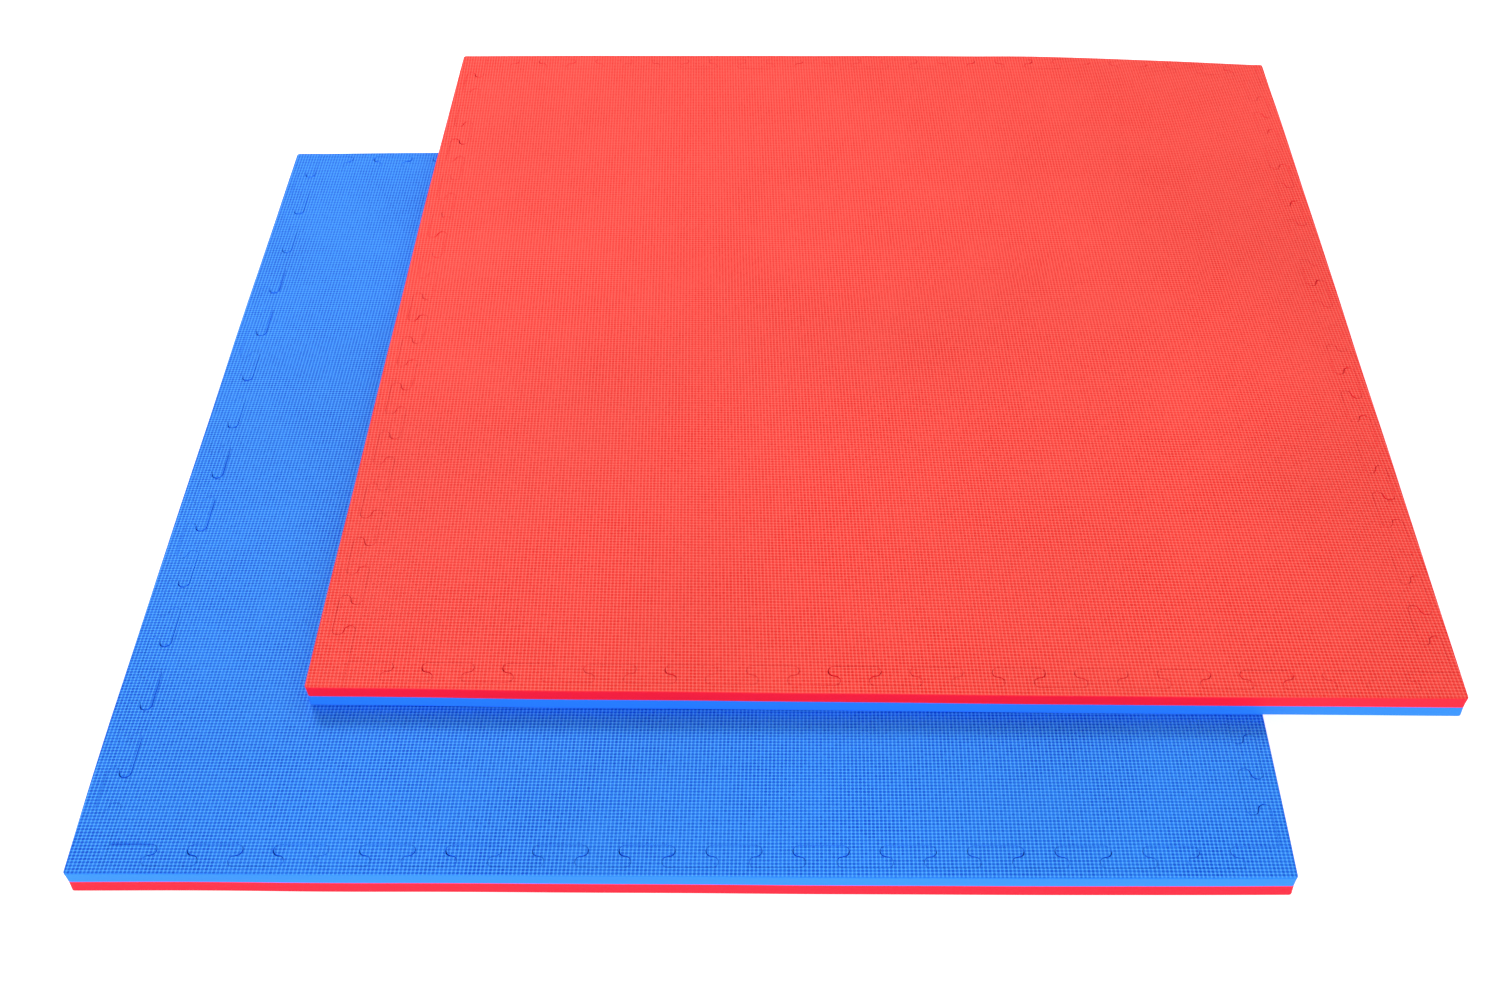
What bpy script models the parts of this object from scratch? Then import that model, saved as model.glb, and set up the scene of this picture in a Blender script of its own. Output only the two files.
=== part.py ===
"""Two square reversible foam floor mats, one lying askew on the other.

Each mat is one jigsaw tile with four border strips pressed into its teeth, so it
finishes as a plain square. Every piece is a laminate of a red and a blue foam layer.
The lower mat lies blue side up, and the upper one red side up.

Metres, +Z up. The origin is on the floor, under the middle of the stack's outline.
"""

import bmesh
import bpy
from math import cos, pi, radians, sin
from mathutils import Vector

# Driving dimensions
MAT_SIDE = 1.000
LAYER_THICKNESS = 0.013
GAP = 0.0003  # between all neighbouring faces

TEETH = 13  # on each side of a tile
TOOTH_REACH = 0.021
RIM = 0.0075  # solid foam left outside the tooth tips and the tile's flush sides

UPPER_OFFSET = (0.180, 0.165)  # upper mat's centre from the lower one's
UPPER_TURN = radians(-0.68)
ARC_STEPS = 3  # facets in each half circle of the tooth outline

# Worked out from them
TILE_SIDE = MAT_SIDE - 2 * RIM - TOOTH_REACH
TILE_START = RIM + TOOTH_REACH  # tile's corner, from the mat's corner
TILE_END = TILE_START + TILE_SIDE
HALF_PITCH = TILE_SIDE / (2 * TEETH + 1)
FLANK_RADIUS = TOOTH_REACH / 4  # four radii make one S-shaped flank
MAT_THICKNESS = 2 * LAYER_THICKNESS

# Foam colours, as linear RGB
FOAM = {
    "red": (0.90, 0.065, 0.060, 1.0),
    "blue": (0.030, 0.220, 0.880, 1.0),
}
FOAM_ROUGHNESS = 0.75


def clear_scene():
    for old in list(bpy.data.objects):
        bpy.data.objects.remove(old, do_unlink=True)


def foam_material(colour):
    """A matt foam, shared by all layers of one colour."""
    material = bpy.data.materials.new(f"{colour}_foam")
    material.use_nodes = True
    shader = material.node_tree.nodes["Principled BSDF"]
    shader.inputs["Base Color"].default_value = FOAM[colour]
    shader.inputs["Roughness"].default_value = FOAM_ROUGHNESS
    shader.inputs["Metallic"].default_value = 0.0
    material.diffuse_color = FOAM[colour]
    return material


# Outlines. All are lists of (x, y) in one mat's frame, which starts at its front left
# corner. "Along" runs along a side of the tile, and "reach" is how far a point lies
# from the side's straight line, towards the mat's front or left.


def flank(along, opening):
    """The S-shaped flank of a tooth: two half circles, one above the other.

    The first narrows the tooth's neck and the second widens its head. The point
    where they meet is left out, because it lies on a straight facet.
    """
    bend = 1 if opening else -1
    points = []
    for centre, side in ((1, bend), (3, -bend)):
        for step in range(ARC_STEPS + 1):
            if step == (ARC_STEPS if centre == 1 else 0):
                continue
            angle = pi * step / ARC_STEPS - pi / 2
            points.append(
                (
                    along + side * FLANK_RADIUS * cos(angle),
                    FLANK_RADIUS * (centre + sin(angle)),
                )
            )
    return points if opening else points[::-1]


def toothed_side():
    """One side of the tile as (along, reach), without its two end corners."""
    points = []
    for number in range(1, 2 * TEETH + 1):
        points += flank(number * HALF_PITCH, opening=number % 2 == 1)
    return points


def horizontal_seam(y):
    """The seam along the tile's front or back line at y, from left to right."""
    return [(TILE_START + along, y - reach) for along, reach in toothed_side()]


def vertical_seam(x):
    """The seam along the tile's left or right line at x, from front to back."""
    return [(x - reach, TILE_START + along) for along, reach in toothed_side()]


def inset(outline, distance):
    """An anticlockwise outline drawn in by distance, with mitred corners."""
    moved = []
    count = len(outline)
    for index, point in enumerate(outline):
        before = Vector(outline[index - 1])
        here = Vector(point)
        after = Vector(outline[(index + 1) % count])
        first = (here - before).normalized()
        second = (after - here).normalized()
        normal_1 = Vector((-first.y, first.x))
        normal_2 = Vector((-second.y, second.x))
        shift = (normal_1 + normal_2) * (distance / (1 + normal_1.dot(normal_2)))
        moved.append((here.x + shift.x, here.y + shift.y))
    return moved


def tile_outline():
    front = horizontal_seam(TILE_START)
    right = vertical_seam(TILE_END)
    back = horizontal_seam(TILE_END)[::-1]
    left = vertical_seam(TILE_START)[::-1]
    return inset(
        [(TILE_START, TILE_START)]
        + front
        + [(TILE_END, TILE_START)]
        + right
        + [(TILE_END, TILE_END)]
        + back
        + [(TILE_START, TILE_END)]
        + left,
        GAP / 2,
    )


def border_outline(side):
    """A border strip. Its outer faces start half a gap out, which the inset takes back.

    The left strip is full length, the front and right strips butt against the one
    before them, and the rear strip lies between the left and the right one.
    """
    low = -GAP / 2
    high = MAT_SIDE + GAP / 2
    start = TILE_START
    end = TILE_END
    outlines = {
        "left": [(low, low), (start, low), (start, start)]
        + vertical_seam(start)
        + [(start, end), (start, high), (low, high)],
        "front": [(start, low), (high, low), (high, start), (end, start)]
        + horizontal_seam(start)[::-1]
        + [(start, start)],
        "right": [(end, start), (high, start), (high, high), (end, high), (end, end)]
        + vertical_seam(end)[::-1],
        "rear": [(start, end)]
        + horizontal_seam(end)
        + [(end, end), (end, high), (start, high)],
    }
    return inset(outlines[side], GAP / 2)


def middle(outline):
    xs = [x for x, _ in outline]
    ys = [y for _, y in outline]
    return Vector(((min(xs) + max(xs)) / 2, (min(ys) + max(ys)) / 2))


def without_repeats(outline):
    """The outline with points that fall on their neighbour taken out."""
    kept = []
    for point in outline:
        if not kept or (Vector(point) - Vector(kept[-1])).length > GAP / 10:
            kept.append(point)
    return kept


def slab(name, outline, centre, bottom, top, material):
    """A flat layer with this outline, its origin under the outline's middle."""
    mesh = bpy.data.meshes.new(name)
    bm = bmesh.new()
    corners = [
        bm.verts.new((x - centre.x, y - centre.y, bottom))
        for x, y in without_repeats(outline)
    ]
    base = bm.faces.new(corners)
    raised = bmesh.ops.extrude_face_region(bm, geom=[base])["geom"]
    lifted = [item for item in raised if isinstance(item, bmesh.types.BMVert)]
    bmesh.ops.translate(bm, vec=(0, 0, top - bottom), verts=lifted)
    bmesh.ops.recalc_face_normals(bm, faces=bm.faces)
    bmesh.ops.triangulate(bm, faces=[face for face in bm.faces if len(face.verts) > 4])
    bm.to_mesh(mesh)
    bm.free()
    mesh.materials.append(material)
    layer = bpy.data.objects.new(name, mesh)
    bpy.context.collection.objects.link(layer)
    return layer


def empty(name, location, parent=None):
    marker = bpy.data.objects.new(name, None)
    marker.empty_display_size = 0.05
    marker.location = location
    marker.parent = parent
    bpy.context.collection.objects.link(marker)
    return marker


def piece(mat, name, outline, layers, materials):
    """One loose piece of a mat: its two layers, on an empty at its middle."""
    centre = middle(outline)
    holder = empty(
        f"{name}_lift",
        (centre.x - MAT_SIDE / 2, centre.y - MAT_SIDE / 2, 0),
        parent=mat,
    )
    bottoms = (0, LAYER_THICKNESS + GAP / 2)
    tops = (LAYER_THICKNESS - GAP / 2, MAT_THICKNESS)
    for colour, bottom, top in zip(layers, bottoms, tops):
        layer = slab(
            f"{name}_{colour}_layer",
            outline,
            centre,
            bottom,
            top,
            materials[colour],
        )
        layer.parent = holder


def mat(prefix, location, turn, layers, materials):
    """A whole mat, with layers naming its colours from the bottom up."""
    holder = empty(f"{prefix}_mat", location)
    holder.rotation_euler.z = turn
    piece(holder, f"{prefix}_tile", tile_outline(), layers, materials)
    for side in ("left", "front", "right", "rear"):
        piece(
            holder,
            f"{prefix}_{side}_border",
            border_outline(side),
            layers,
            materials,
        )


def lower_centre():
    """The lower mat's centre, so that the stack's outline is centred on the origin."""
    half = MAT_SIDE / 2
    turned_half = half * (cos(UPPER_TURN) + abs(sin(UPPER_TURN)))
    return [-(offset + turned_half - half) / 2 for offset in UPPER_OFFSET]


def build():
    clear_scene()
    materials = {colour: foam_material(colour) for colour in FOAM}
    x, y = lower_centre()
    mat("lower", (x, y, 0), 0.0, ("red", "blue"), materials)
    mat(
        "upper",
        (x + UPPER_OFFSET[0], y + UPPER_OFFSET[1], MAT_THICKNESS + GAP),
        UPPER_TURN,
        ("blue", "red"),
        materials,
    )
    bpy.context.view_layer.update()


build()
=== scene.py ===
"""Looks of two reversible foam mats, one lying askew on the other on a pale floor.

Every foam layer of the frame is replaced by a finely shaped one: smooth jigsaw teeth,
softened cut edges, hairline seams, and the droop of the upper mat where it overhangs.
Metres, +Z up, in the frame's own coordinates.
"""

from math import cos, pi, radians, sin

import bpy
import numpy as np
from mathutils import Matrix, Vector
from mathutils.geometry import delaunay_2d_cdt


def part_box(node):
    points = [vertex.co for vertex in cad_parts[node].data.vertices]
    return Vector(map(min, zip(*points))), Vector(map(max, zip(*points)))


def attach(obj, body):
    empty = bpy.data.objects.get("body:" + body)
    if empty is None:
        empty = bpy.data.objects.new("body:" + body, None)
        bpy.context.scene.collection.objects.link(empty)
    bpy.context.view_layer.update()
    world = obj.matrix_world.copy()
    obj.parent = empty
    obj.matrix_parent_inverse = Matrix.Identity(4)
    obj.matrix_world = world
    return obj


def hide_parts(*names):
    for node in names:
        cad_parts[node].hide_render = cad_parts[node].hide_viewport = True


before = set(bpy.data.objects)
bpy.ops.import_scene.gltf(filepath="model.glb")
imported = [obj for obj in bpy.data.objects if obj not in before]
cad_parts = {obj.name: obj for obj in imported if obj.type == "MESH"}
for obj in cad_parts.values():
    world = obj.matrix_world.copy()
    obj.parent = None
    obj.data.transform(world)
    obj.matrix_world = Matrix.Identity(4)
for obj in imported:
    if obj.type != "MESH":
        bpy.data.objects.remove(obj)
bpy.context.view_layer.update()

# The mats' plan, as they are cut
MAT_SIDE = 1.000
GAP = 0.0003
TEETH = 13  # on each side of a tile
TOOTH_REACH = 0.021
RIM = 0.0075  # solid foam left outside the tooth tips and the tile's flush sides
TURN = {"lower": 0.0, "upper": radians(-0.68)}
LAYERS = {"lower": ("red", "blue"), "upper": ("blue", "red")}  # from the bottom up

TILE_START = RIM + TOOTH_REACH
TILE_SIDE = MAT_SIDE - 2 * RIM - TOOTH_REACH
TILE_END = TILE_START + TILE_SIDE
HALF_PITCH = TILE_SIDE / (2 * TEETH + 1)
FLANK_RADIUS = TOOTH_REACH / 4

# How finely it is shaped
ARC_STEPS = 8  # facets in each half circle of a tooth
LONGEST_ARC_EDGE = 1.1 * pi * FLANK_RADIUS / ARC_STEPS
EDGE_STEPS = 4  # facets round a softened edge
LONGEST_EDGE = 0.012
GRID = 0.020  # spacing of the points inside a tile's faces
GRID_MARGIN = 0.060
SUPPORT = 0.0028  # keeps the shading of a sharp corner close to it
WALL_ROWS = (0.4, 0.7, 1.0)  # of a layer's thickness, below its softened edge
SHARP = cos(radians(30))  # edges meet in a sharp corner where their cosine is less
MITRED = 0.8  # the same, where an outline is drawn in
LEAST_SPREAD = 0.05  # keeps the mitre of a very sharp corner from running far out
MERGE_DISTANCE = 1e-7
SLOPE_STEP = 0.001

# Smooth random unevenness, as a sum of waves
WAVES = 7
SHORTEST_WAVE = 0.25  # of the longest one
WAVE_HEIGHT = 1.6

# Soft edges and small faults of die-cut foam
TOP_RADIUS = 0.0012
BOTTOM_RADIUS = {"lower": 0.0006, "upper": 0.0024}
CORNER_RADIUS = 0.0030  # of the mat's four corners, in plan
WALL_HOLLOW = 0.0006  # how far a cut side draws in between its two edges
SKIN_FADE = 1.4  # the embossing ends before the softened edge has turned down
TOP_STEP = 0.00015  # how much one piece stands proud of its neighbour
UNDER_STEP = 0.00008
STEP_WAVE = 0.25
EDGE_RIPPLE = 0.0004  # unevenness of the outer edges, in plan
EDGE_WAVE = 0.4
EDGE_SEED = 21
FIRST_PIECE_SEED = 101

# Seams: their softened edge and half their opening, where tight and where gaping
SEAM_RADIUS = (0.00010, 0.00080)
SEAM_OPENING = (0.00002, 0.00045)
SEAM_SEED = 11
SEAM_WAVE = 0.2
GAPING = {"lower": (0.80, 0.45), "upper": (0.42, 0.50)}  # its middle and its range
# Next to a tooth's shoulder, how much the rest of its flank and a straight stretch gape
FLANK_SHARE = 0.25
STRAIGHT_SHARE = 0.12
SHOULDER = (0.4, 0.3)  # where on a tooth's reach, and how far it fades to either side
SHOULDER_GAIN = 1.5  # widens the part of the shoulder that gapes in full
# How much the lower left strip's heads gape at their tips and at their front flanks, and
# the share that is left of the gaping elsewhere along it
PULLED_TIP = 0.55
PULLED_FLANK = 0.90
PULLED_REST = 0.25

# How far the outer edges lie outside the mat's square: at most, where along the edge
# from the front or the left, and the lengths over which it fades to either side
EDGE_PUSH = {
    "lower": {
        "left": (0.0048, 0.20, 0.34, 0.84),
        "right": (0.0043, 0.25, 0.33, 0.80),
        "front": (0.0020, 0.90, 0.75, 0.20),
        "rear": (0.0, 0.5, 1.0, 1.0),
    },
    "upper": {
        "left": (0.0055, 0.40, 3.00, 0.79),
        "right": (0.0026, 1.00, 1.00, 1.00),
        "front": (0.0015, 0.45, 0.50, 0.62),
        "rear": (0.0010, 0.30, 0.60, 0.35),
    },
}
PUSH_BAND = 0.003  # beside the edge, moved as far as the edge is
SIDES = {"left": (0, 0), "right": (0, MAT_SIDE), "front": (1, 0), "rear": (1, MAT_SIDE)}

# Where the upper mat overhangs the lower one, in its own plan, and how far it droops
OVERHANG_X = 0.820
OVERHANG_Y = 0.837
CORNER_REACH = 0.160  # how much further in the rear right corner starts to bend
SIDE_DROOP = (0.0006, 0.0125)  # of the right edge at its front end, and more at its rear
REAR_DROOP = 0.0005
PAST_EDGE = 1.1  # the droop goes on a little outside the square, where an edge is pushed

# Embossed dimples: their width and length, and how far a column leans
PITCH = {"red": (0.00328, 0.00344, 0.044), "blue": (0.00333, 0.00318, -0.012)}
PHASE_SHIFT = 0.08  # of a dimple, between the patterns of two pieces


# Outlines: points of the mat's plan from its front left corner, anticlockwise


def flank(along, opening):
    """The S-shaped flank of a tooth: one half circle narrows it, the next widens it."""
    bend = 1 if opening else -1
    points = []
    for centre, side in ((1, bend), (3, -bend)):
        for step in range(ARC_STEPS + 1):
            if centre == 3 and step == 0:
                continue
            angle = pi * step / ARC_STEPS - pi / 2
            reach = FLANK_RADIUS * (centre + sin(angle))
            points.append((along + side * FLANK_RADIUS * cos(angle), reach))
    return points if opening else points[::-1]


def toothed_side():
    """One side of a tile as (along, reach), without its two end corners."""
    points = []
    for number in range(1, 2 * TEETH + 1):
        points += flank(number * HALF_PITCH, opening=number % 2 == 1)
    return points


def horizontal_seam(y):
    return [(TILE_START + along, y - reach) for along, reach in toothed_side()]


def vertical_seam(x):
    return [(x - reach, TILE_START + along) for along, reach in toothed_side()]


def outlines():
    """The five pieces of a mat, by name."""
    start, end, side = TILE_START, TILE_END, MAT_SIDE
    front, rear = horizontal_seam(start), horizontal_seam(end)
    left, right = vertical_seam(start), vertical_seam(end)
    return {
        "tile": [(start, start)] + front + [(end, start)] + right
        + [(end, end)] + rear[::-1] + [(start, end)] + left[::-1],
        "left_border": [(0, 0), (start, 0), (start, start)] + left
        + [(start, end), (start, side), (0, side)],
        "front_border": [(start, 0), (side, 0), (side, start), (end, start)]
        + front[::-1] + [(start, start)],
        "right_border": [(end, start), (side, start), (side, side), (end, side)]
        + [(end, end)] + right[::-1],
        "rear_border": [(start, end)] + rear
        + [(end, end), (end, side), (start, side)],
    }


def on_outside(here, after):
    """True if the edge between two points lies on the mat's outer boundary."""
    return any(
        here[axis] == after[axis] and here[axis] in (0, MAT_SIDE) for axis in (0, 1)
    )


def unit(vector):
    return vector / np.linalg.norm(vector)


def with_corners(points):
    """The outline as (point, whether its edge is outside), with its corners treated.

    The mat's own corners are rounded, and other sharp corners get support points.
    """
    count = len(points)
    corners = [np.array(point, float) for point in points]
    outside = [on_outside(points[i], points[(i + 1) % count]) for i in range(count)]
    treated = []
    for i, here in enumerate(corners):
        way_in = unit(here - corners[i - 1])
        way_out = unit(corners[(i + 1) % count] - here)
        if way_in @ way_out > SHARP:
            treated.append((here, outside[i]))
        elif outside[i - 1] and outside[i]:
            middle = here + CORNER_RADIUS * (way_out - way_in)
            for step in range(EDGE_STEPS + 1):
                angle = pi / 2 * step / EDGE_STEPS
                arm = way_in * sin(angle) - way_out * cos(angle)
                treated.append((middle + CORNER_RADIUS * arm, True))
        else:
            treated.append((here - SUPPORT * way_in, outside[i - 1]))
            treated.append((here, outside[i]))
            treated.append((here + SUPPORT * way_out, outside[i]))
    return treated


def refine(points):
    """The outline made finer, and for each edge True if it is outside, not on a seam."""
    treated = with_corners(points)
    fine, places = [], []
    for i, (here, place) in enumerate(treated):
        after = treated[(i + 1) % len(treated)][0]
        parts = max(1, int(np.ceil(np.linalg.norm(after - here) / LONGEST_EDGE)))
        for part in range(parts):
            fine.append(here + (after - here) * part / parts)
            places.append(place)
    return np.array(fine), np.array(places)


def edge_normals(points):
    """Each edge's outward normal and length, from a point to the next."""
    edges = np.roll(points, -1, axis=0) - points
    lengths = np.linalg.norm(edges, axis=1, keepdims=True)
    return np.column_stack((edges[:, 1], -edges[:, 0])) / lengths, lengths


def drawn_in(points, distances):
    """The outline drawn in by a distance for each edge, with mitred corners."""
    normals, _ = edge_normals(points)
    first, second = np.roll(normals, 1, axis=0), normals
    near, far = np.roll(distances, 1)[:, None], distances[:, None]
    cosine = np.sum(first * second, axis=1, keepdims=True)
    smooth = (first + second) * (near + far) / 2 / (1 + cosine)
    spread = np.maximum(1 - cosine**2, LEAST_SPREAD)
    sharp = (first * (near - far * cosine) + second * (far - near * cosine)) / spread
    return points - np.where(cosine > MITRED, smooth, sharp)


def end_normals(points):
    """Outward normals at each edge's two ends: smooth along a curve, split at a corner."""
    normals, lengths = edge_normals(points)
    before = np.roll(normals, 1, axis=0)
    weighted = normals * lengths
    summed = weighted + np.roll(weighted, 1, axis=0)
    smooth = summed / np.linalg.norm(summed, axis=1, keepdims=True)
    sharp = np.sum(normals * before, axis=1, keepdims=True) < SHARP
    starts = np.where(sharp, normals, smooth)
    ends = np.where(np.roll(sharp, -1, axis=0), normals, np.roll(smooth, -1, axis=0))
    return starts, ends


def ripple(points, seed, longest):
    """A smooth uneven field between about -1 and 1, with waves up to longest."""
    draw = np.random.default_rng(seed)
    total = np.zeros(len(points))
    for _ in range(WAVES):
        angle = draw.uniform(0, 2 * pi)
        length = longest * draw.uniform(SHORTEST_WAVE, 1.0)
        way = np.array((cos(angle), sin(angle))) * 2 * pi / length
        total += np.sin(points @ way + draw.uniform(0, 2 * pi))
    return total * WAVE_HEIGHT / WAVES


# Seams


def reach_share(points):
    """How far along a tooth's reach each place on a seam lies, from 0 to 1."""
    x, y = points[:, 0], points[:, 1]
    reaches = np.array((TILE_START - x, TILE_START - y, TILE_END - x, TILE_END - y))
    on_tooth = (reaches > 0) & (reaches < TOOTH_REACH)
    return np.where(on_tooth, reaches, 0).max(axis=0) / TOOTH_REACH


def drawn_out(gaping, middles, curved):
    """The lower mat's gaping, once its left strip has drawn out a little.

    The heads beside that strip gape at their tips and at their front flanks, and so
    does the tile's front left corner. The rest of the strip's seam is tighter.
    """
    reach = TILE_START - middles[:, 0]
    along = (middles[:, 1] - TILE_START) / HALF_PITCH
    in_head = (reach > -GAP) & (reach < TOOTH_REACH / 2) & (along > 1) & (along < 2 * TEETH)
    tip = in_head & (reach < GAP) & (along % 2 < 1)
    front_flank = in_head & curved & (np.abs((along + 1) % 2 - 1) < 0.5)
    depth, across = TILE_START - middles[:, 1], middles[:, 0] - TILE_START
    corner = (np.abs(depth) < GAP) & (across > 0) & (across < HALF_PITCH) & ~curved
    strip = (reach > -GAP) & (reach < TOOTH_REACH + GAP)
    gaping = np.where(strip, PULLED_REST * gaping, gaping)
    gaping = np.where(tip | corner, np.maximum(gaping, PULLED_TIP), gaping)
    return np.where(front_flank, np.maximum(gaping, PULLED_FLANK), gaping)


def seam_gaping(points, mat_name):
    """How much each edge's seam gapes, from 0 to 1: most at the teeth's shoulders."""
    _, lengths = edge_normals(points)
    middles = (points + np.roll(points, -1, axis=0)) / 2
    curved = lengths[:, 0] < LONGEST_ARC_EDGE
    middle, spread = GAPING[mat_name]
    loose = np.clip(middle + spread * ripple(middles, SEAM_SEED, SEAM_WAVE), 0, 1)
    from_shoulder = np.abs(reach_share(middles) - SHOULDER[0]) / SHOULDER[1]
    shoulder = np.clip(SHOULDER_GAIN * (1 - from_shoulder), FLANK_SHARE, 1)
    gaping = loose * np.where(curved, shoulder, STRAIGHT_SHARE)
    if mat_name == "lower":
        gaping = drawn_out(gaping, middles, curved)
    from_edge = np.minimum(middles, MAT_SIDE - middles).min(axis=1)
    return np.where(from_edge < RIM - GAP, 0, gaping)


# How a mat lies


def fade(along, push):
    """How far an edge is pushed outward, at these places along it."""
    most, middle, before, after = push
    away = np.where(along < middle, (middle - along) / before, (along - middle) / after)
    return most * (1 - np.clip(away, 0, 1) ** 2)


def bend(share):
    """The shape of an overhanging sheet: 0 at its support and 1 at its free edge."""
    return share**2 * (6 - 4 * share + share**2) / 3


def droop(points):
    """How far the upper mat hangs below flat."""
    x, y = points[:, 0], points[:, 1]
    over_y = np.clip((y - OVERHANG_Y) / (MAT_SIDE - OVERHANG_Y), 0, PAST_EDGE)
    start = OVERHANG_X - CORNER_REACH * over_y**2
    over_x = np.clip((x - start) / (MAT_SIDE - start), 0, PAST_EDGE)
    side = SIDE_DROOP[0] + SIDE_DROOP[1] * y / MAT_SIDE
    return side * bend(over_x) + REAR_DROOP * bend(over_y)


def slope(height, points):
    """The gradient of a height over the plan."""
    step = SLOPE_STEP
    shift_x, shift_y = np.array((step, 0)), np.array((0, step))
    return np.column_stack(
        (
            (height(points + shift_x) - height(points - shift_x)) / (2 * step),
            (height(points + shift_y) - height(points - shift_y)) / (2 * step),
        )
    )


class Mat:
    """Where a mat lies, and how its plan maps to the frame."""

    def __init__(self, name):
        self.name = name
        self.turn = TURN[name]
        layers = [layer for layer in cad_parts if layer.startswith(name)]
        lows = np.array([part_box(layer)[0][:2] for layer in layers])
        highs = np.array([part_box(layer)[1][:2] for layer in layers])
        self.centre = (lows.min(axis=0) + highs.max(axis=0)) / 2

    def height(self, points):
        if self.name == "upper":
            return -droop(points)
        return np.zeros(len(points))

    def turned(self, vectors):
        c, s = cos(self.turn), sin(self.turn)
        return vectors @ np.array(((c, s), (-s, c)))

    def pushed(self, points):
        """Points of the square plan, with those along its outer edges moved."""
        moved = points.copy()
        for side, (axis, end) in SIDES.items():
            inside = np.abs(points[:, axis] - end)
            share = np.clip((RIM - inside) / (RIM - PUSH_BAND), 0, 1)
            push = fade(points[:, 1 - axis], EDGE_PUSH[self.name][side])
            push = push + EDGE_RIPPLE * ripple(points, EDGE_SEED + axis, EDGE_WAVE)
            moved[:, axis] += np.sign(end - MAT_SIDE / 2) * share * push
        return moved

    def placed(self, points, z):
        """Points of the plan, at height z when flat, as frame coordinates."""
        flat = self.turned(self.pushed(points) - MAT_SIDE / 2) + self.centre
        return np.column_stack((flat, z + self.height(points)))

    def tilted(self, points, normals):
        """Normals of a flat mat's surface, as they stand on the settled mat."""
        gradient = slope(self.height, points)
        moved = normals.copy()
        moved[:, :2] = self.turned(normals[:, :2] - gradient * normals[:, 2:])
        return moved / np.linalg.norm(moved, axis=1, keepdims=True)


# Foam layers


def cap(ring, inside):
    """Triangles over a ring of points and the points inside it, facing up."""
    points = np.vstack((ring, inside)) if len(inside) else ring
    verts, _, faces, origins, _, _ = delaunay_2d_cdt(
        [tuple(point) for point in points],
        [],
        [list(range(len(ring)))],
        1,
        MERGE_DISTANCE,
    )
    if len(verts) != len(points):
        raise ValueError("the outline crosses itself")
    index = [origin[0] for origin in origins]
    return points, [[index[corner] for corner in face] for face in faces]


def tile_grid():
    """Points inside a tile, clear of its teeth."""
    steps = int((MAT_SIDE - 2 * GRID_MARGIN) / GRID)
    line = np.linspace(GRID_MARGIN, MAT_SIDE - GRID_MARGIN, steps + 1)
    x, y = np.meshgrid(line, line)
    return np.column_stack((x.ravel(), y.ravel()))


def wall_rings(base, places, mat, faces_up, thickness):
    """The outlines of a layer's wall, from its outer face to its bonded face.

    Each has its points in plan, their depth under the outer face, how far the wall
    has turned from flat towards upright, and how much embossed skin it has.
    """
    gaping = seam_gaping(base, mat.name)
    seam_radius = np.interp(gaping, (0, 1), SEAM_RADIUS)
    opening = np.interp(gaping, (0, 1), SEAM_OPENING)
    outer_radius = TOP_RADIUS if faces_up else BOTTOM_RADIUS[mat.name]
    radius = np.where(
        places | np.roll(places, 1),
        outer_radius,
        (seam_radius + np.roll(seam_radius, 1)) / 2,
    )
    rows = []
    for step in range(EDGE_STEPS + 1):
        angle = pi / 2 * step / EDGE_STEPS
        skin = max(0.0, 1 - SKIN_FADE * step / EDGE_STEPS)
        rows.append((1 - sin(angle), radius * (1 - cos(angle)), angle, skin))
    for share in WALL_ROWS:
        rows.append((0, radius + (thickness - radius) * share, pi / 2, 0.0))
    rings = []
    for rounding, depth, angle, skin in rows:
        hollow = WALL_HOLLOW * np.sin(pi / 2 * depth / thickness)
        outer_distance = outer_radius * rounding + hollow
        seam_distance = seam_radius * rounding + opening
        plan = drawn_in(base, np.where(places, outer_distance, seam_distance))
        rings.append((plan, depth, angle, skin))
    return rings


def wall_faces(base, rings, mat, up):
    """The wall's faces, and a normal for each of their corners."""
    count = len(base)
    starts, ends = end_normals(base)

    def row_normals(outward, plan, angle):
        lifted = np.full(count, up * cos(angle))
        return mat.tilted(plan, np.column_stack((outward * sin(angle), lifted)))

    start_rows = [row_normals(starts, plan, angle) for plan, _, angle, _ in rings]
    end_rows = [
        row_normals(ends, np.roll(plan, -1, axis=0), angle) for plan, _, angle, _ in rings
    ]
    faces, normals = [], []
    for row in range(len(rings) - 1):
        for i in range(count):
            after = (i + 1) % count
            loop = [
                (row * count + i, start_rows[row][i]),
                ((row + 1) * count + i, start_rows[row + 1][i]),
                ((row + 1) * count + after, end_rows[row + 1][i]),
                (row * count + after, end_rows[row][i]),
            ]
            loop = loop[::up]
            faces.append([corner for corner, _ in loop])
            normals += [normal for _, normal in loop]
    return faces, normals


def emboss(mesh, plan, pitch, seed):
    """A UV layer that counts dimples across and along the mat's plan."""
    width, length, lean = pitch
    columns = (plan[:, 0] + lean * plan[:, 1]) / width
    dimples = np.column_stack((columns, plan[:, 1] / length))
    phase = np.random.default_rng(seed).uniform(0, PHASE_SHIFT, 2)
    corners = np.zeros(len(mesh.loops), int)
    mesh.loops.foreach_get("vertex_index", corners)
    layer = mesh.uv_layers.new(name="dimples")
    layer.uv.foreach_set("vector", (dimples[corners] + phase).ravel())


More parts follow.
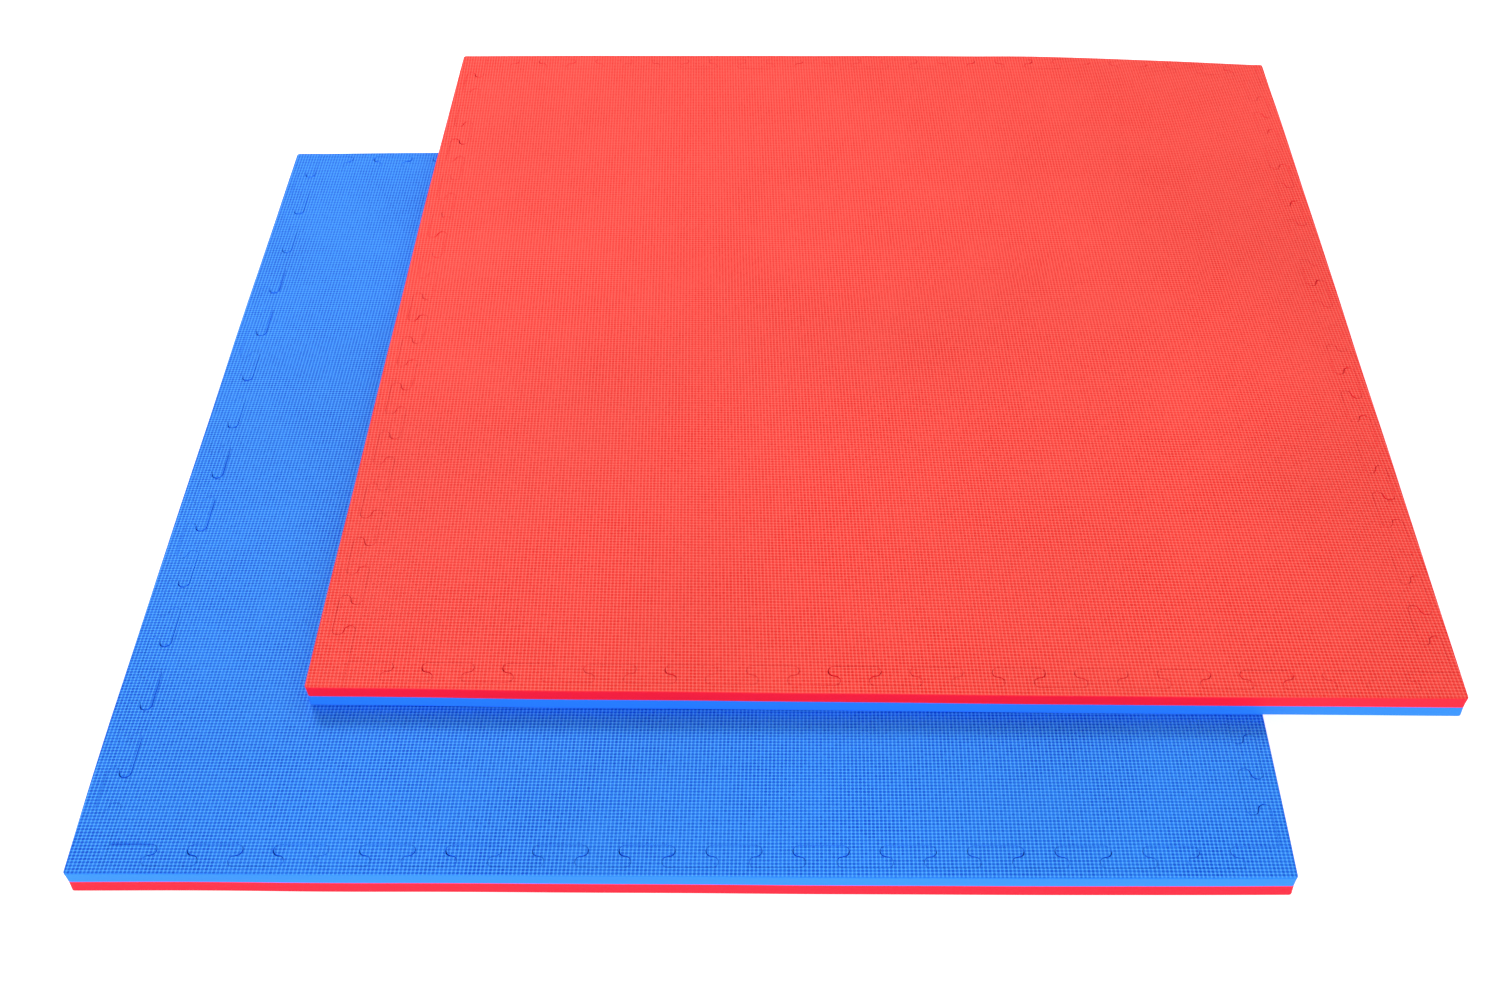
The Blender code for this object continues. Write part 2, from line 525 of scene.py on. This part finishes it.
def foam_layer(name, mat, outline, inside, cad_node, faces_up, material, pitch, seed):
    """One foam layer: dimpled outer face, softened edge, cut sides and bonded face."""
    low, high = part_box(cad_node)
    base, places = refine(outline)
    drop = mat.height(np.array(((MAT_SIDE / 2, MAT_SIDE / 2),)))[0]
    bottom, top = low.z - drop, high.z - drop
    thickness = top - bottom
    up = 1 if faces_up else -1
    step_size = TOP_STEP if faces_up else UNDER_STEP

    def level(points, depth):
        """Height when flat of points this deep under the outer face."""
        rise = step_size * ripple(points, seed, STEP_WAVE) * (1 - depth / thickness)
        return top - depth + rise if faces_up else bottom + depth - rise

    rings = wall_rings(base, places, mat, faces_up, thickness)
    outer_points, outer_faces = cap(rings[0][0], inside)
    bond_points, bond_faces = cap(rings[-1][0], inside)
    count = len(base)
    outer_inside, bond_inside = outer_points[count:], bond_points[count:]
    plan = np.vstack([ring for ring, _, _, _ in rings] + [outer_inside, bond_inside])
    flat_z = np.concatenate(
        [level(ring, depth) for ring, depth, _, _ in rings]
        + [level(outer_inside, 0), level(bond_inside, thickness)]
    )
    face_up = mat.tilted(plan, np.tile((0.0, 0.0, float(up)), (len(plan), 1)))

    # The rings' points come first, then those inside the outer and the bonded face
    ring_points = len(rings) * count
    last_ring = ring_points - count
    faces, normals = [], []
    for face in outer_faces:
        loop = [corner if corner < count else last_ring + corner for corner in face]
        loop = loop[::up]
        faces.append(loop)
        normals += [face_up[corner] for corner in loop]
    for face in bond_faces:
        loop = [
            last_ring + corner + (0 if corner < count else len(outer_inside))
            for corner in face
        ]
        loop = loop[::-up]
        faces.append(loop)
        normals += [-face_up[corner] for corner in loop]
    sides, side_normals = wall_faces(base, rings, mat, up)

    mesh = bpy.data.meshes.new(name)
    mesh.from_pydata(mat.placed(plan, flat_z).tolist(), [], faces + sides)
    mesh.shade_smooth()
    mesh.normals_split_custom_set([tuple(normal) for normal in normals + side_normals])

    skin = np.concatenate(
        [np.full(count, skin) for _, _, _, skin in rings]
        + [np.ones(len(outer_inside)), np.zeros(len(bond_inside))]
    )
    attribute = mesh.attributes.new("skin", "FLOAT", "POINT")
    attribute.data.foreach_set("value", skin.astype(np.float32))
    emboss(mesh, mat.pushed(plan), pitch, seed)
    mesh.materials.append(material)

    piece = bpy.data.objects.new(name, mesh)
    bpy.context.scene.collection.objects.link(piece)
    return piece


# Materials

DIMPLE = (0.42, 0.26)  # its rim and its flat bottom, from its middle, in dimples
CREST_HIGHLIGHT = (0.48, 0.66)  # the foot and the top of the ridges where four dimples meet, which get a painted highlight
DIMPLE_DEPTH = 0.0006
PRESSED_SCALE = 14.0  # per metre, of the areas that are pressed less deeply
PRESSED = (0.75, 1.0)
UNEVEN = (0.72, 1.0)  # one dimple's strength next to another's
CLOUD_SCALE = 3.5
CLOUD = (0.95, 1.04)  # faint darker and lighter areas
CELL_SCALE = 900.0
CELL_RELIEF = 0.12  # of a dimple's depth
ROUGHNESS = (0.5, 0.66)
SHINE = 0.13
NOISE_RANGE = (0.3, 0.7)  # holds nearly all of a noise texture's values


def node(tree, kind, inputs=None, **settings):
    """A shader node with its settings and its inputs, which are values or sockets."""
    made = tree.nodes.new(kind)
    for key, value in settings.items():
        setattr(made, key, value)
    for key, value in (inputs or {}).items():
        socket = made.inputs[key]
        if isinstance(value, bpy.types.NodeSocket):
            tree.links.new(value, socket)
        else:
            socket.default_value = value
    return made


def calculated(tree, kind, operation, first, second=None):
    """A node that calculates with one or two values or vectors."""
    inputs = {0: first} if second is None else {0: first, 1: second}
    return node(tree, kind, inputs, operation=operation)


def ranged(tree, value, source, target=(0.0, 1.0), interpolation="LINEAR"):
    """A value brought from one range to another."""
    inputs = {
        "Value": value,
        "From Min": source[0],
        "From Max": source[1],
        "To Min": target[0],
        "To Max": target[1],
    }
    made = node(tree, "ShaderNodeMapRange", inputs, interpolation_type=interpolation)
    return made.outputs["Result"]


def noise(tree, place, scale, detail):
    inputs = {"Vector": place, "Scale": scale, "Detail": detail}
    return node(tree, "ShaderNodeTexNoise", inputs).outputs["Fac"]


def mixed(tree, factor, colour, other):
    inputs = {"Factor": factor, "A": colour, "B": other}
    return node(tree, "ShaderNodeMix", inputs, data_type="RGBA").outputs["Result"]


def dimple_pattern(tree, grid, place, skin):
    """How deep each place lies in a dimple, and how high on the ridges, both 0 to 1. The
    depth makes the bump and the dimples' painted shade; the height places the ridges'
    painted highlight.
    """
    vector = "ShaderNodeVectorMath"
    cell = calculated(tree, vector, "FRACTION", grid).outputs[0]
    flat = calculated(tree, vector, "MULTIPLY", cell, (1, 1, 0)).outputs[0]
    middle = (0.5, 0.5, 0)
    distance = calculated(tree, vector, "DISTANCE", flat, middle).outputs["Value"]
    dimple = ranged(tree, distance, DIMPLE, interpolation="SMOOTHSTEP")
    crest_highlight = ranged(tree, distance, CREST_HIGHLIGHT, interpolation="SMOOTHSTEP")

    areas = noise(tree, place, PRESSED_SCALE, 3.0)
    pressed = ranged(tree, areas, NOISE_RANGE, PRESSED)
    whole = calculated(tree, vector, "FLOOR", grid).outputs[0]
    each = node(tree, "ShaderNodeTexWhiteNoise", {"Vector": whole}).outputs["Value"]
    uneven = ranged(tree, each, (0.0, 1.0), UNEVEN)
    for factor in (pressed, uneven, skin):
        dimple = calculated(tree, "ShaderNodeMath", "MULTIPLY", dimple, factor).outputs[0]
    return dimple, crest_highlight


def foam_material(name, land_and_sheen, ridge_highlight, hollow, side):
    """Embossed closed-cell foam: the flats between its dimples, the ridges where four
    dimples meet, the dimples and the cut sides each have a colour. The flats' colour is the
    foam's own with painted sheen, whiter than the cut sides'; the ridges' is a painted
    highlight and the dimples' is painted shade.
    """
    material = bpy.data.materials.new(name)
    material.use_nodes = True
    tree = material.node_tree
    shader = tree.nodes["Principled BSDF"]
    grid = node(tree, "ShaderNodeUVMap", uv_map="dimples").outputs["UV"]
    skin = node(tree, "ShaderNodeAttribute", attribute_name="skin").outputs["Fac"]
    place = node(tree, "ShaderNodeTexCoord").outputs["Object"]
    dimple, crest_highlight = dimple_pattern(tree, grid, place, skin)

    # Painted highlight: the ridges where four dimples meet are given a lighter colour
    colour = mixed(tree, crest_highlight, (*land_and_sheen, 1), (*ridge_highlight, 1))
    # Painted shade: the dimples are given the darker hollow colour
    colour = mixed(tree, dimple, colour, (*hollow, 1))
    # The embossed top is whiter than the cut sides by the painted sheen in its land colour;
    # the cut sides show the foam's own colour
    colour = mixed(tree, skin, (*side, 1), colour)
    shade = ranged(tree, noise(tree, place, CLOUD_SCALE, 4.0), NOISE_RANGE, CLOUD)
    shaded = {"Color": colour, "Value": shade}
    colour = node(tree, "ShaderNodeHueSaturation", shaded).outputs["Color"]

    cells = noise(tree, place, CELL_SCALE, 2.0)
    rough = ranged(tree, cells, NOISE_RANGE, ROUGHNESS)
    fine = calculated(tree, "ShaderNodeMath", "MULTIPLY", cells, CELL_RELIEF).outputs[0]
    relief = calculated(tree, "ShaderNodeMath", "SUBTRACT", fine, dimple).outputs[0]
    raised = {"Height": relief, "Strength": 1.0, "Distance": DIMPLE_DEPTH}
    bump = node(tree, "ShaderNodeBump", raised).outputs["Normal"]
    tree.links.new(colour, shader.inputs["Base Color"])
    tree.links.new(rough, shader.inputs["Roughness"])
    tree.links.new(bump, shader.inputs["Normal"])
    shader.inputs["Specular IOR Level"].default_value = SHINE
    return material


# Land colours: the foam's own with painted sheen; ridges: painted highlight; hollows:
# painted shade; sides: the foam's own colour
FOAM = {
    "red": foam_material(
        "red_foam",
        land_and_sheen=(0.98, 0.094, 0.075),
        ridge_highlight=(1.00, 0.176, 0.150),
        hollow=(0.91, 0.015, 0.011),
        side=(0.97, 0.009, 0.032),
    ),
    "blue": foam_material(
        "blue_foam",
        land_and_sheen=(0.032, 0.290, 0.98),
        ridge_highlight=(0.128, 0.450, 1.00),
        hollow=(0.000, 0.070, 0.69),
        side=(0.020, 0.213, 0.99),
    ),
}


def build_mats():
    """All ten pieces of the two mats, each as its lower and its upper foam layer."""
    pieces = outlines()
    grid = tile_grid()
    nothing = np.zeros((0, 2))
    seed = FIRST_PIECE_SEED
    for mat_name, colours in LAYERS.items():
        mat = Mat(mat_name)
        for part, outline in pieces.items():
            body = f"{mat_name}_{part}"
            for level, colour in enumerate(colours):
                cad_node = f"{body}_{colour}_layer"
                piece = foam_layer(
                    f"{body}_{colour}_foam",
                    mat,
                    outline,
                    grid if part == "tile" else nothing,
                    cad_node,
                    level == 1,
                    FOAM[colour],
                    PITCH[colour],
                    seed,
                )
                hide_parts(cad_node)
                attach(piece, body)
            seed += 1


# The studio

FLOOR_HALF = 60.0
FLOOR_WHITE = 0.65
FLOOR_GLOW = 0.8  # keeps the paper white in the mats' shadow, as in the photograph
WORLD_STRENGTH = 0.56
# Each lamp's watts, its side and its place
SOFTBOXES = {
    "right_softbox": (9.5, 1.6, (1.0, 1.0, 2.2)),
    "front_softbox": (52.0, 1.5, (-0.3, -3.2, 0.8)),
    "rear_left_softbox": (78.0, 1.2, (-1.6, 2.3, 3.0)),
}
CAMERA_PLACE = (-0.0047, -1.3439, 1.2674)
CAMERA_HEADING = radians(1.642)  # anticlockwise from +Y
CAMERA_PITCH = radians(46.414)  # down
CAMERA_ROLL = radians(1.297)  # clockwise
CAMERA_LENS = 42.09  # millimetres, as is the sensor
CAMERA_SENSOR = 36.0


def make_world(scene):
    world = bpy.data.worlds.new("studio")
    world.use_nodes = True
    background = world.node_tree.nodes["Background"]
    background.inputs["Color"].default_value = (1.0, 1.0, 1.0, 1.0)
    background.inputs["Strength"].default_value = WORLD_STRENGTH
    scene.world = world


def make_floor(scene):
    """White paper, just under the mats."""
    half = FLOOR_HALF
    corners = [(-half, -half), (half, -half), (half, half), (-half, half)]
    mesh = bpy.data.meshes.new("floor")
    mesh.from_pydata([(x, y, -GAP) for x, y in corners], [], [(0, 1, 2, 3)])
    floor = bpy.data.objects.new("floor", mesh)
    scene.collection.objects.link(floor)
    paper = bpy.data.materials.new("white_paper")
    paper.use_nodes = True
    shader = paper.node_tree.nodes["Principled BSDF"]
    shader.inputs["Base Color"].default_value = (FLOOR_WHITE, FLOOR_WHITE, FLOOR_WHITE, 1.0)
    shader.inputs["Roughness"].default_value = 0.9
    shader.inputs["Emission Color"].default_value = (1.0, 1.0, 1.0, 1.0)
    shader.inputs["Emission Strength"].default_value = FLOOR_GLOW
    mesh.materials.append(paper)


def make_softbox(scene, name, energy, size, location):
    """A square lamp that shines at the origin."""
    lamp = bpy.data.lights.new(name, "AREA")
    lamp.shape = "SQUARE"
    lamp.size = size
    lamp.energy = energy
    box = bpy.data.objects.new(name, lamp)
    box.location = location
    box.rotation_euler = Vector(location).to_track_quat("Z", "Y").to_euler()
    scene.collection.objects.link(box)


def make_camera(scene):
    lens = bpy.data.cameras.new("camera")
    lens.lens = CAMERA_LENS
    lens.sensor_width = CAMERA_SENSOR
    camera = bpy.data.objects.new("camera", lens)
    camera.matrix_world = (
        Matrix.Translation(CAMERA_PLACE)
        @ Matrix.Rotation(CAMERA_HEADING, 4, "Z")
        @ Matrix.Rotation(pi / 2 - CAMERA_PITCH, 4, "X")
        @ Matrix.Rotation(-CAMERA_ROLL, 4, "Z")
    )
    scene.collection.objects.link(camera)
    scene.camera = camera


def studio():
    """Floor, light and camera."""
    scene = bpy.context.scene
    scene.view_settings.view_transform = "Standard"
    make_world(scene)
    make_floor(scene)
    for name, (energy, size, location) in SOFTBOXES.items():
        make_softbox(scene, name, energy, size, location)
    make_camera(scene)


build_mats()
studio()
